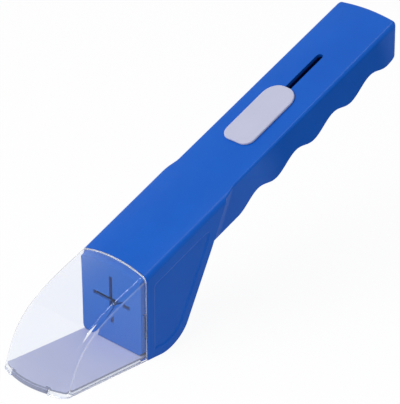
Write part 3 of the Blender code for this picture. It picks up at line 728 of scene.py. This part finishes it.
def wear_and_shade_grip(material):
    """Take the gloss off the sides of the handle, where the fingers lie, and paint shade on them.
    """
    tree = material.node_tree
    shader = tree.nodes["Principled BSDF"]
    worn_and_shaded = grip_mask(tree)
    fresh_sheen = shader.inputs["Specular IOR Level"].default_value
    sheen = range_between(tree, worn_and_shaded, fresh_sheen, WORN_SHEEN, 0.0, 1.0)
    tree.links.new(sheen, shader.inputs["Specular IOR Level"])
    # Painted shade: the base colour is scaled down on the grip's sides.
    shaded_colour = tree.nodes.new("ShaderNodeVectorMath")
    shaded_colour.operation = "SCALE"
    tree.links.new(shader.inputs["Base Color"].links[0].from_socket, shaded_colour.inputs["Vector"])
    tree.links.new(range_between(tree, worn_and_shaded, 1.0, GRIP_SHADE_TONE, 0.0, 1.0), shaded_colour.inputs["Scale"])
    tree.links.new(shaded_colour.outputs["Vector"], shader.inputs["Base Color"])


wear_and_shade_grip(blue)
# The tone on the grip is painted shade.
print("worn sheen", WORN_SHEEN, "and tone", GRIP_SHADE_TONE, "on the grip")

# %% [markdown]
# ## Cheek panels and thumb slot
# Each cheek of the head has a shallow panel that follows the head's outline, and the top has a
# long slot for the thumb pad's stem. The slot is cut with a plain prism: four corners, rounded,
# and pulled to the depth needed. A panel cut that way would have a sharp step all round, so its
# cutter is a dish: a few insets, each a little deeper, make a soft slope down to the floor.

# %% Panels and slot
PANEL_FRONT = 0.0042
PANEL_TOP = 0.0065
PANEL_BAND = 0.0036
PANEL_BOTTOM = 0.0039
PANEL_DEPTH = 0.0005
PANEL_EDGE = 0.0014
PANEL_STEPS = 6
SLOT_START = 0.0866
SLOT_END = 0.1497
SLOT_WIDTH = 0.0037
SLOT_LOW = -0.004
SLOT_HIGH = 0.006
ROUND_END = 0.98
SHELL_EDGE = 0.00035
SHELL_CREASE = 20.0


def panel_tool(side):
    """Dish that sinks the panel into one cheek, with a soft slope all round its floor."""
    back_x = HEEL_X - PANEL_BAND / math.sin(BACK)
    brow = on_slope(0.0, 0.0, -PANEL_TOP)
    brow_z = brow.z + (PANEL_FRONT - brow.x) * math.tan(SLOPE)
    crest_x = (brow.z - brow.x * math.tan(SLOPE) + back_x * math.tan(BACK)) / (
        math.tan(BACK) - math.tan(SLOPE)
    )
    crest_z = (crest_x - back_x) * math.tan(BACK)
    heel_x = back_x + PANEL_BOTTOM / math.tan(BACK)
    outline = [
        (PANEL_FRONT, PANEL_BOTTOM), (heel_x, PANEL_BOTTOM),
        (crest_x, crest_z), (PANEL_FRONT, brow_z),
    ]
    shape = bmesh.new()
    places = [Vector((x, side * (HEAD_HALF + PANEL_DEPTH), z)) for x, z in outline]
    shape.faces.new([shape.verts.new(place) for place in places])
    corner = 2 * PANEL_EDGE
    heel_reach = (HEEL_RADIUS - PANEL_BAND) * math.tan(BACK / 2)
    round_points(shape, [places[1]], heel_reach, segments=10)
    round_points(shape, [places[2]], corner / math.tan((BACK - SLOPE) / 2), segments=6)
    round_points(shape, [places[3]], corner * math.tan((math.pi / 2 - SLOPE) / 2), segments=4)
    pull(shape, shape.faces[:], (0.0, -side * PANEL_DEPTH, 0.0))
    floor_face = min(shape.faces, key=lambda face: side * face.calc_center_median().y)
    turns = [math.pi * step / PANEL_STEPS for step in range(PANEL_STEPS + 1)]
    depths = [PANEL_DEPTH * (1 - math.cos(turn)) / 2 for turn in turns]
    for low, high in zip(depths, depths[1:]):
        bmesh.ops.inset_region(
            shape, faces=[floor_face], thickness=PANEL_EDGE / PANEL_STEPS, depth=high - low,
            use_even_offset=True,
        )
    return as_object(shape, "tool")


def slot_tool(start, end, width, low, high):
    """Prism with round ends that stands square on the handle."""
    half = width / 2
    shape = bmesh.new()
    corners = [(start, -half), (end, -half), (end, half), (start, half)]
    places = [on_slope(u, v, low) for u, v in corners]
    shape.faces.new([shape.verts.new(place) for place in places])
    round_points(shape, places, half * ROUND_END, segments=6)
    pull(shape, shape.faces[:], NORMAL * (high - low))
    return as_object(shape, "tool")


for cheek in (-1, 1):
    combine(shell, panel_tool(cheek), "DIFFERENCE")
combine(shell, slot_tool(SLOT_START, SLOT_END, SLOT_WIDTH, SLOT_LOW, SLOT_HIGH), "DIFFERENCE")
soften(shell, SHELL_EDGE, segments=3, angle=SHELL_CREASE)
finish_piece(shell, blue, "housing", "blue_case", "upper_shell")

# %% [markdown]
# ## Grip cover and bulkhead
# The cover closes the underside and the bulkhead closes the head behind the scoop. Their solids
# already have the right shape, so merged copies are used and every crisp edge gets the small
# round that a mould leaves. The cover is drawn in where the shell's waist needs it, and the
# bulkhead gets a low boss beside each snap tab of the scoop.

# %% Cover
MOULD_EDGE = 0.0002
cover = as_object(copied("grip_cover"), "grip_underside")
for point in cover.data.vertices:
    x, y, z = point.co
    room = half_width(x, z) - CASE_WALL - FIT_GAP
    point.co.y = min(max(y, -room), room)
soften(cover, MOULD_EDGE)
finish_piece(cover, blue, "housing", "blue_case", "grip_cover")

# %% Bulkhead
SNAP_LOW = 0.0111
SNAP_HIGH = 0.0235
BOSS_REACH = 0.0005
BOSS_ROOT = 0.0016
BOSS_FRONT = -0.0021
BOSS_BACK = -0.0009
plug_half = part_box("vent_bulkhead")[1].y
bulkhead = as_object(copied("vent_bulkhead"), "vented_bulkhead")
for side in (-1, 1):
    near, far = sorted((side * (plug_half - BOSS_ROOT), side * (plug_half + BOSS_REACH)))
    low = (BOSS_FRONT, near, SNAP_LOW - BOSS_REACH)
    high = (BOSS_BACK, far, SNAP_HIGH + BOSS_REACH)
    combine(bulkhead, block(low, high), "UNION")
soften(bulkhead, MOULD_EDGE)
# The bulkhead wears the lighter blue, which is painted light.
finish_piece(bulkhead, lit_bulkhead_blue, "housing", "blue_case", "vent_bulkhead")

# %% [markdown]
# ## The clear scoop
# The scoop continues the head's section forwards and curves down to a lip. Its side view is a
# Bezier line from the rim to the lip. As with the shell, a side face is pulled across, the long
# corners are rounded and the roof is arched, here square to the curve. Clear walls show their
# inside too, and Solidify would crowd the inner corners. So the form is made twice, the second
# time drawn in by the wall and with its own corners, and cut out of the first. Both run past the
# rim and the mouth, where a block trims them.

# %% Sizes of the scoop
SCOOP_LENGTH = 0.0503
SCOOP_WALL = 0.0015
ROOF_CROWN = 0.0050
ROOF_FALL = math.radians(20.5)
ROOF_REACH = 0.0395
FRONT_LEAN = math.radians(72.0)
FRONT_REACH = 0.0235
SCOOP_CORNER = 0.0026
SCOOP_INSIDE_CORNER = 0.0011


def scoop_line(place):
    """Point of the scoop's shoulder line in side view, and its outward normal."""
    start = RIM
    end = Vector((-SCOOP_LENGTH, 0.0, 0.0))
    first = start - Vector((math.cos(ROOF_FALL), 0.0, math.sin(ROOF_FALL))) * ROOF_REACH
    second = end + Vector((math.cos(FRONT_LEAN), 0.0, math.sin(FRONT_LEAN))) * FRONT_REACH
    t = min(max(place, 0.0), 1.0)
    s = 1.0 - t
    point = start * s**3 + first * (3 * s * s * t) + second * (3 * s * t * t) + end * t**3
    tangent = (first - start) * (s * s) + (second - first) * (2 * s * t) + (end - second) * (t * t)
    tangent.normalize()
    point = point + tangent * (place - t) * SCOOP_LENGTH
    return point, Vector((tangent.z, 0.0, -tangent.x))


print("scoop:", SCOOP_LENGTH, "m long, wall", SCOOP_WALL, "m")

# %% Scoop
ROOF_ZONE = 0.0034
ROOF_SAMPLES = 700
SAMPLE_START = -0.15
SAMPLE_RUN = 1.40
FORM_START = -0.12
FORM_RUN = 1.30
FORM_STEPS = 60
ROOF_CUTS = 16
FAR = 0.2


def arch_roof(shape):
    """Raise the roof square to its side view, more at the lip than at the rim."""
    tree = kdtree.KDTree(ROOF_SAMPLES)
    samples = []
    for index in range(ROOF_SAMPLES):
        place = SAMPLE_START + SAMPLE_RUN * index / (ROOF_SAMPLES - 1)
        point, normal = scoop_line(place)
        samples.append((place, normal))
        tree.insert(point, index)
    tree.balance()
    for vert in shape.verts:
        level = Vector((vert.co.x, 0.0, vert.co.z))
        _, index, distance = tree.find(level)
        if distance > ROOF_ZONE:
            continue
        place, normal = samples[index]
        crown = RIM_CROWN + (ROOF_CROWN - RIM_CROWN) * min(max(place, 0.0), 1.0)
        vert.co += normal * crown * max(1.0 - (vert.co.y / HEAD_HALF) ** 2, 0.0)


def scoop_form(inset, corner):
    """Closed form of the scoop, drawn in by an inset and run past the rim and the mouth."""
    half = HEAD_HALF - inset
    shape = bmesh.new()
    chain = []
    for step in range(FORM_STEPS + 1):
        point, normal = scoop_line(FORM_START + FORM_RUN * step / FORM_STEPS)
        chain.append(shape.verts.new(point - normal * inset - Vector((0.0, half, 0.0))))
    back = shape.verts.new((chain[0].co.x, -half, chain[-1].co.z))
    inner = back.co.xz
    shape.faces.new(chain + [back])
    pull(shape, shape.faces[:], (0.0, 2 * half, 0.0))
    long_edges = []
    for edge in shape.edges:
        same_side = edge.verts[0].co.y * edge.verts[1].co.y > 0
        at_back = any((point.co.xz - inner).length < TINY for point in edge.verts)
        if same_side and not at_back:
            long_edges.append(edge)
    round_edges(shape, long_edges, corner, segments=12)
    for step in range(1, ROOF_CUTS):
        across = half * (2 * step / ROOF_CUTS - 1)
        slice_through(shape, (0.0, across, 0.0), (0.0, 1.0, 0.0))
    arch_roof(shape)
    return as_object(shape, "clear_scoop_moulding")


scoop = scoop_form(0.0, SCOOP_CORNER)
combine(scoop, scoop_form(SCOOP_WALL, SCOOP_INSIDE_CORNER), "DIFFERENCE")
combine(scoop, block((-FAR, -FAR, 0.0), (-FIT_GAP, FAR, FAR)), "INTERSECT")
print("scoop wall faces:", len(scoop.data.polygons))

# %% [markdown]
# ## Ledges, notch and snap tabs of the scoop
# The door slides on a narrow ledge along each side wall. The lip has a notch for the door's
# downturned tongue, and a snap tab on each side reaches into the head. The ledges are blocks and
# the tabs are bent outlines, pulled up and joined to the wall. The notch is a block cut out of it.
# The scoop throws no shadow, because the shadow of clear plastic would come out far too dark.
# Then the cut edges get the satin finish. The notch's upper face would mirror the bright
# surroundings back out of the plastic, so it is painted dark grey: painted shade for the gap.

# %% Scoop details
LEDGE_WIDTH = 0.0022
SILL_ROOM = 0.0035
TONGUE_HALF = 0.0120
SNAP_LENGTH = 0.0050
SNAP_ROOT = 0.0008
SNAP_WALL = 0.0012
COVER_WALL = 0.0010
DOOR_TOP = 0.0022
LEDGE_FRONT = -0.046
NOTCH_BACK = -0.040
SCOOP_EDGE = 0.00018
inner_half = HEAD_HALF - SCOOP_WALL


def snap_tool(side):
    """Bent tab: a root on the scoop's wall and a blade that reaches into the head."""
    inside = HEAD_HALF - CASE_WALL - FIT_GAP - SNAP_WALL
    outside = inside + SNAP_WALL
    outline = [
        (-SNAP_ROOT, inside), (SNAP_LENGTH, inside), (SNAP_LENGTH, outside),
        (-2 * FIT_GAP, outside), (-2 * FIT_GAP, inner_half + SCOOP_WALL / 2),
        (-SNAP_ROOT, inner_half + SCOOP_WALL / 2),
    ]
    shape = bmesh.new()
    shape.faces.new([shape.verts.new((x, side * y, SNAP_LOW)) for x, y in outline])
    pull(shape, shape.faces[:], (0.0, 0.0, SNAP_HIGH - SNAP_LOW))
    return as_object(shape, "tool")


for side in (-1, 1):
    near, far = sorted((side * (inner_half - LEDGE_WIDTH), side * (inner_half + SCOOP_WALL / 2)))
    ledge = block((LEDGE_FRONT, near, 0.0), (-SILL_ROOM, far, COVER_WALL))
    combine(scoop, ledge, "UNION")
    combine(scoop, snap_tool(side), "UNION")
notch = TONGUE_HALF + FIT_GAP
gap = block((-FAR, -notch, -FAR), (NOTCH_BACK, notch, DOOR_TOP + FIT_GAP))
combine(scoop, gap, "DIFFERENCE")
soften(scoop, SCOOP_EDGE)
scoop.visible_shadow = False
scoop.visible_diffuse = False
finish_piece(scoop, clear, "housing", "clear_scoop", "clear_scoop")

# %% Satin edges
RIM_BAND = 0.00025
SATIN = 1
PAINTED_SHADE = 2
scoop.data.materials.append(satin_edge)
scoop.data.materials.append(tongue_shade_grey)
for face in scoop.data.polygons:
    x, y, z = face.center - Vector((RIM_X, 0.0, 0.0))
    at_rim = x > -FIT_GAP - RIM_BAND
    at_mouth = z < COVER_WALL + TINY and abs(y) < HEAD_HALF - TINY
    low_front = x < NOTCH_BACK and z < DOOR_TOP + 2 * FIT_GAP
    at_notch = low_front and abs(y) < notch + FIT_GAP
    if at_rim or at_mouth or at_notch:
        face.material_index = SATIN
    # Painted shade: the notch's upper face takes the dark grey, standing in for the shadowed gap.
    if at_notch and abs(y) < notch - FIT_GAP and z > DOOR_TOP:
        face.material_index = PAINTED_SHADE
used = [face.material_index for face in scoop.data.polygons]
print("satin faces:", used.count(SATIN), "grey faces:", used.count(PAINTED_SHADE))

# %% [markdown]
# ## The trap door
# The door is one thin flexible sheet. In the imported model it is cut into a tip, four strips and
# a panel that turn against each other, with a hairline between them. Here each copy is stretched
# to the middle of its gaps, so the sheet is seamless when it lies flat. The tongue's front and
# the side edges take the darker grey, a painted shade that makes them look darker than the floor.

# %% Trap door
FORWARDS = -0.3
DOOR_PARTS = ["tip", "strip_1", "strip_2", "strip_3", "strip_4", "panel"]


def door_piece(node, name):
    """Copy of one part of the door, grown to the middle of its gaps."""
    shape = copied(node)
    low = min(point.co.x for point in shape.verts)
    high = max(point.co.x for point in shape.verts)
    for point in shape.verts:
        if node != "door_panel" and point.co.x > high - TINY:
            point.co.x += FIT_GAP / 2
        if node != "door_tip" and point.co.x < low + TINY:
            point.co.x -= FIT_GAP / 2
    return as_object(shape, name)


for part in DOOR_PARTS:
    node = "door_" + part
    leaf = door_piece(node, "sheet_" + part)
    smooth(leaf)
    finish_piece(leaf, grey, node, "grey_door", node)
    # Painted shade: the tongue's front and the sheet's side edges take the darker grey.
    leaf.data.materials.append(tongue_shade_grey)
    for face in leaf.data.polygons:
        tongue = part == "tip" and face.normal.x < FORWARDS
        if tongue or abs(face.normal.y) > SIDEWAYS:
            face.material_index = 1

# %% [markdown]
# ## The thumb pad
# The pad is a thin pale tile that follows the crown of the handle, with a nearly round rear end
# and tighter front corners. A flat outline is rounded, pulled up and its upper edge rounded. Then
# planes along the handle slice it, so that it can be bent over the crown. A Boolean with a crowned
# block would give a hollow underside too, but bending keeps the tile's thickness. A stem joined
# to it goes down the slot.

# %% Thumb pad
PAD_START = 0.0847
PAD_LENGTH = 0.0393
PAD_HALF = 0.00925
PAD_THICKNESS = 0.0010
PAD_EDGE = 0.0006
PAD_FRONT_RADIUS = 0.0055
PAD_REAR_RADIUS = 0.0080
STEM_START = 0.0869
STEM_LENGTH = 0.0105
STEM_WIDTH = 0.0031
STEM_LOW = -0.0034
PAD_CUTS = 12


def crown_over(across):
    """Height of the handle's top over its shoulder line."""
    return HANDLE_CROWN * math.cos(SLOPE) * (1.0 - (across / HANDLE_HALF) ** 2)


def make_pad():
    """Pale tile over the slot, without its stem."""
    shape = bmesh.new()
    rear = PAD_START + PAD_LENGTH
    corners = [(PAD_START, -PAD_HALF), (rear, -PAD_HALF), (rear, PAD_HALF), (PAD_START, PAD_HALF)]
    places = [Vector((u, v, 0.0)) for u, v in corners]
    shape.faces.new([shape.verts.new(place) for place in places])
    round_points(shape, [places[0], places[3]], PAD_FRONT_RADIUS, segments=10)
    round_points(shape, [places[1], places[2]], PAD_REAR_RADIUS, segments=12)
    pull(shape, shape.faces[:], (0.0, 0.0, PAD_THICKNESS))
    upper = [e for e in shape.edges if min(p.co.z for p in e.verts) > PAD_THICKNESS / 2]
    round_edges(shape, upper, PAD_EDGE, segments=4)
    for step in range(1, PAD_CUTS):
        across = PAD_HALF * (2 * step / PAD_CUTS - 1)
        slice_through(shape, (0.0, across, 0.0), (0.0, 1.0, 0.0))
    for point in shape.verts:
        u, v, n = point.co
        point.co = on_slope(u, v, crown_over(v) + FIT_GAP + n)
    return as_object(shape, "pale_thumb_pad")


pad = make_pad()
stem_end = STEM_START + STEM_LENGTH
stem_top = crown_over(0.0) + FIT_GAP + PAD_THICKNESS / 2
combine(pad, slot_tool(STEM_START, stem_end, STEM_WIDTH, STEM_LOW, stem_top), "UNION")
smooth(pad)
finish_piece(pad, pale, "slider", "pale_pad", "thumb_pad")

# %% [markdown]
# ## Cover screws
# Four small screws hold the cover from below. Their profile could be spun again here, but the
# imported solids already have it. So merged copies get smooth shading and the steel.

# %% Screws
SCREW_COUNT = 4
for index in range(1, SCREW_COUNT + 1):
    screw = as_object(copied("cover_screw_%d" % index), "zinc_screw_%d" % index)
    smooth(screw)
    finish_piece(screw, steel, "housing", "screw_steel", "cover_screw_%d" % index)

# %% [markdown]
# ## Hidden pieces
# The strap and the carriage are inside the handle and only a sliver of them can be seen through
# the slot. Their solids stay and get the door's finish.

# %% Strap and carriage
for name in ("door_strap", "carriage"):
    hidden = nodes[name]
    hidden.data.materials.clear()
    hidden.data.materials.append(grey)
    print(name, "wears", grey.name)

# %% [markdown]
# ## Surroundings
# A white world could light everything, but then the sides would be as bright as the top. So the
# surroundings are white where the camera sees them, straight, in a mirror or through the clear
# scoop, and light the object only gently. Light Path tells those cases apart.

# %% Surroundings
AMBIENT = 0.405
WHITE = (1.0, 1.0, 1.0, 1.0)


def seen_directly(tree):
    """1 for what the camera sees, straight or by way of gloss and clear plastic."""
    path = tree.nodes.new("ShaderNodeLightPath")
    seen = path.outputs["Is Camera Ray"]
    for name in ("Is Glossy Ray", "Is Transmission Ray"):
        seen = worked_out(tree, "MAXIMUM", seen, path.outputs[name])
    fresh = worked_out(tree, "LESS_THAN", path.outputs["Diffuse Depth"])
    fresh.node.inputs[1].default_value = 0.5
    return worked_out(tree, "MULTIPLY", seen, fresh)


def background(tree, strength):
    """Plain white surroundings of one strength."""
    made = tree.nodes.new("ShaderNodeBackground")
    made.inputs["Color"].default_value = WHITE
    made.inputs["Strength"].default_value = strength
    return made.outputs["Background"]


def either(tree, share, first, second):
    """The first shader where the share is 0, the second where it is 1."""
    choice = tree.nodes.new("ShaderNodeMixShader")
    tree.links.new(share, choice.inputs["Fac"])
    tree.links.new(first, choice.inputs[1])
    tree.links.new(second, choice.inputs[2])
    return choice.outputs["Shader"]


world = bpy.data.worlds.new("studio")
world.use_nodes = True
bpy.context.scene.world = world
sky = world.node_tree
sky.nodes.clear()
sky_output = sky.nodes.new("ShaderNodeOutputWorld")
sky_look = either(sky, seen_directly(sky), background(sky, AMBIENT), background(sky, 1.0))
sky.links.new(sky_look, sky_output.inputs["Surface"])
print("surroundings: ambient", AMBIENT)

# %% [markdown]
# ## Floor
# The floor is white paper just under the scoop's mouth. To the camera it glows white, mixed with
# a small share of the lit paper, so that a faint shadow stays. To the object it is pale grey
# paper that throws some light up at the sides.

# %% Floor
FLOOR_SIZE = 8.0
FLOOR_DROP = 0.0002
PAPER_GREY = (0.62, 0.62, 0.63, 1.0)
PAPER_LIFT = 0.30
PAPER_GLOW = 1.02
SHADOW_SHARE = 0.12
shape = bmesh.new()
bmesh.ops.create_grid(shape, x_segments=2, y_segments=2, size=FLOOR_SIZE / 2)
bmesh.ops.translate(shape, vec=(0.0, 0.0, -FLOOR_DROP), verts=shape.verts)
floor = as_object(shape, "floor")


def glowing(tree, strength):
    """White glow of one strength."""
    made = tree.nodes.new("ShaderNodeEmission")
    made.inputs["Strength"].default_value = strength
    return made.outputs["Emission"]


paper = bpy.data.materials.new("white_paper")
paper.use_nodes = True
paper_tree = paper.node_tree
paper_tree.nodes.clear()
matte = paper_tree.nodes.new("ShaderNodeBsdfDiffuse")
matte.inputs["Color"].default_value = PAPER_GREY
lit = paper_tree.nodes.new("ShaderNodeAddShader")
paper_tree.links.new(matte.outputs["BSDF"], lit.inputs[0])
paper_tree.links.new(glowing(paper_tree, PAPER_LIFT), lit.inputs[1])
shaded = paper_tree.nodes.new("ShaderNodeMixShader")
shaded.inputs["Fac"].default_value = 1.0 - SHADOW_SHARE
paper_tree.links.new(lit.outputs["Shader"], shaded.inputs[1])
paper_tree.links.new(glowing(paper_tree, PAPER_GLOW), shaded.inputs[2])
paper_look = either(
    paper_tree, seen_directly(paper_tree), lit.outputs["Shader"], shaded.outputs["Shader"],
)
paper_output = paper_tree.nodes.new("ShaderNodeOutputMaterial")
paper_tree.links.new(paper_look, paper_output.inputs["Surface"])
floor.data.materials.append(paper)
print("floor:", FLOOR_SIZE, "m, shadow share", SHADOW_SHARE)

# %% [markdown]
# ## Lamps
# A broad lamp in front and above gives the top its brightness and leaves the sides darker. It is
# hidden from mirrors, because its square would show on the scoop. A long thin lamp over the
# handle does the opposite: it is seen only in gloss, and draws the soft light along the edges.

# %% Lamps
KEY_SIZE = 1.2
KEY_POWER = 11.8
KEY_PLACE = Vector((-0.85, 0.20, 1.05))
STRIP_LENGTH = 1.6
STRIP_WIDTH = 0.09
STRIP_POWER = 7.5
STRIP_PLACE = Vector((-0.35, 0.02, 1.0))

key_light = bpy.data.lights.new("overhead", "AREA")
key_light.shape = "SQUARE"
key_light.size = KEY_SIZE
key_light.energy = KEY_POWER
key = bpy.data.objects.new("overhead", key_light)
key.location = KEY_PLACE
key.rotation_mode = "QUATERNION"
key.rotation_quaternion = (-KEY_PLACE).to_track_quat("-Z", "Y")
key.visible_glossy = False
key.visible_transmission = False
bpy.context.scene.collection.objects.link(key)
strip_light = bpy.data.lights.new("strip", "AREA")
strip_light.shape = "RECTANGLE"
strip_light.size = STRIP_LENGTH
strip_light.size_y = STRIP_WIDTH
strip_light.energy = STRIP_POWER
strip = bpy.data.objects.new("strip", strip_light)
strip.location = STRIP_PLACE
strip.rotation_euler = (math.atan2(STRIP_PLACE.y, STRIP_PLACE.z), 0.0, 0.0)
strip.visible_diffuse = False
strip.visible_transmission = False
bpy.context.scene.collection.objects.link(strip)
print("lamps:", key_light.energy, "W above,", strip_light.energy, "W for the gloss")
